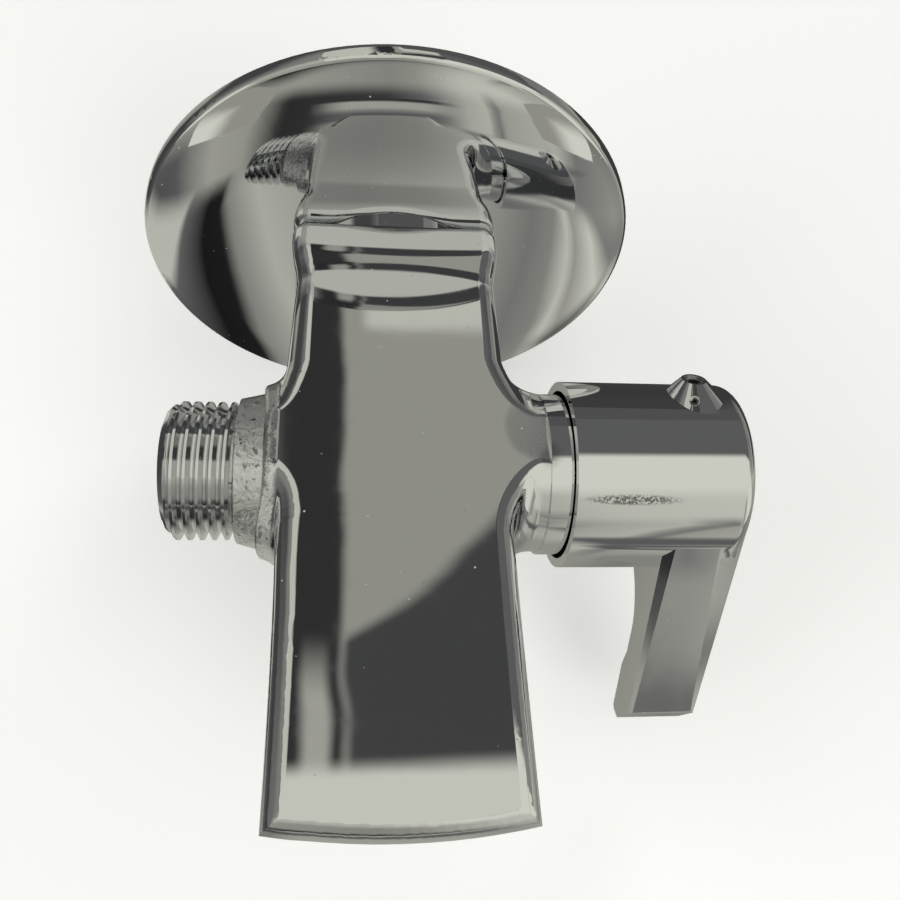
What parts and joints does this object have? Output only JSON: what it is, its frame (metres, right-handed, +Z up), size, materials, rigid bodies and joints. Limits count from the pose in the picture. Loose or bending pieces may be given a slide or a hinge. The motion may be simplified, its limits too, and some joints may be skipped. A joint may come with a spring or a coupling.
{
  "type": "angle valve",
  "caption": "Wall-mounted chrome angle valve with a domed wall flange, flat forward spout, threaded side outlet and a single side lever.",
  "frame": {"origin": "on the inlet's axis in the wall plane, where the flange's rim rests", "axes": "+Y into the wall along the inlet, +X along the port axis towards the lever, +Z up"},
  "size_m": [0.0947, 0.1133, 0.084],
  "materials": {
    "chrome_casting": "polished",
    "chrome_sheet": "mirror polished",
    "chrome_trim": "polished",
    "chrome_lever": "polished",
    "turned_brass": "turned",
    "alumina": "lapped",
    "black_rubber": "matte",
    "steel": "plain",
    "acetal": "moulded"
  },
  "bodies": {
    "valve": {"valve_body": "chrome_casting", "wall_flange": "chrome_sheet", "seat_seal": "black_rubber", "fixed_disc": "alumina", "cartridge_housing": "turned_brass", "housing_o_ring": "black_rubber", "trim_collar": "chrome_trim", "thrust_washer": "acetal", "aerator_washer": "black_rubber", "aerator_housing": "chrome_trim", "aerator_insert": "acetal", "aerator_screen": "steel"},
    "lever": {"handle": "chrome_lever", "set_screw": "steel", "spindle": "turned_brass", "moving_disc": "alumina", "spindle_o_ring_inner": "black_rubber", "spindle_o_ring_outer": "black_rubber", "retaining_clip": "steel"}
  },
  "joints": [
    {"name": "lever_turn", "type": "hinge", "parent": "valve", "child": "lever", "pos_m": [0, -0.0464, 0], "axis": [1, 0, 0], "range_deg": [-90, 90]}
  ]
}
